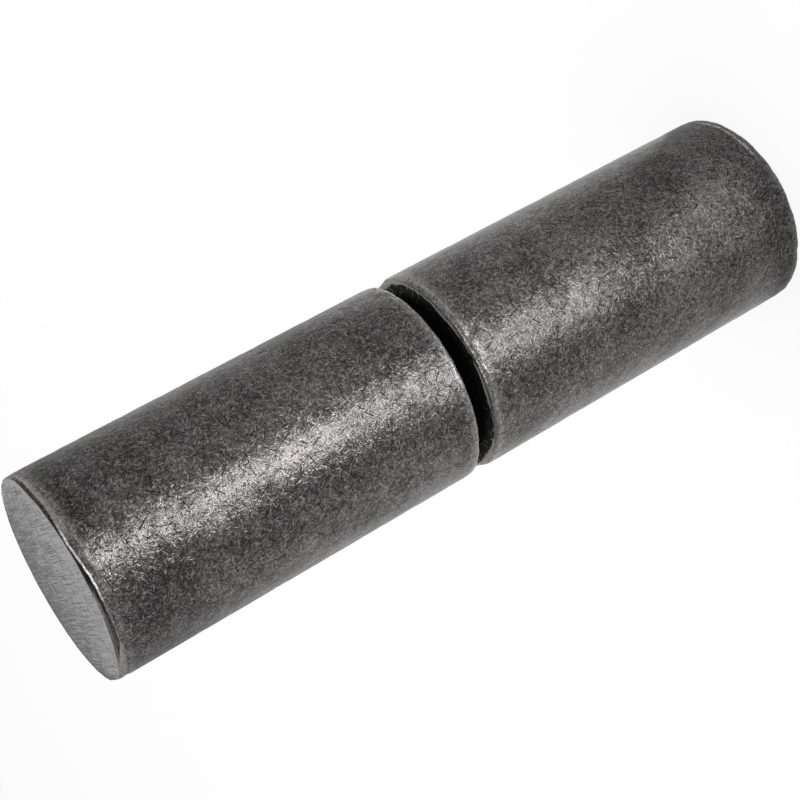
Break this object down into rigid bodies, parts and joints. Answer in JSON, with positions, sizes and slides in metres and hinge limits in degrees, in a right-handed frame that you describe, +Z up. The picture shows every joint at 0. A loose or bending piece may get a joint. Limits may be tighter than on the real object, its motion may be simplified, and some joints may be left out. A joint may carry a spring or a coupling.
{
  "type": "weld on barrel hinge",
  "caption": "Two round steel barrels in line, the upper one turning and lifting off on a pin fixed in the lower one.",
  "frame": {"origin": "middle of the lower barrel's foot, where the hinge stands on its end", "axes": "+Z up along the hinge line, from the lower barrel to the upper one"},
  "size_m": [0.025, 0.025, 0.098],
  "materials": {
    "tumbled_steel": "raw steel, darkened and tumbled, semi-gloss, short dents and scratches, sawn ends",
    "ground_steel": "ground round bar with a film of grease",
    "ball_steel": "polished bearing ball"
  },
  "bodies": {
    "lower_half": {"lower_barrel": "tumbled_steel", "hinge_pin": "ground_steel"},
    "ball": {"thrust_ball": "ball_steel"},
    "upper_half": {"upper_barrel": "tumbled_steel"}
  },
  "joints": [
    {"name": "lift_off", "type": "slide", "parent": "lower_half", "child": "ball", "axis": [0, 0, 1], "range_m": [0, 0.03]},
    {"name": "swing", "type": "hinge", "parent": "ball", "child": "upper_half", "pos_m": [0, 0, 0.0502], "axis": [0, 0, 1], "continuous": true}
  ]
}
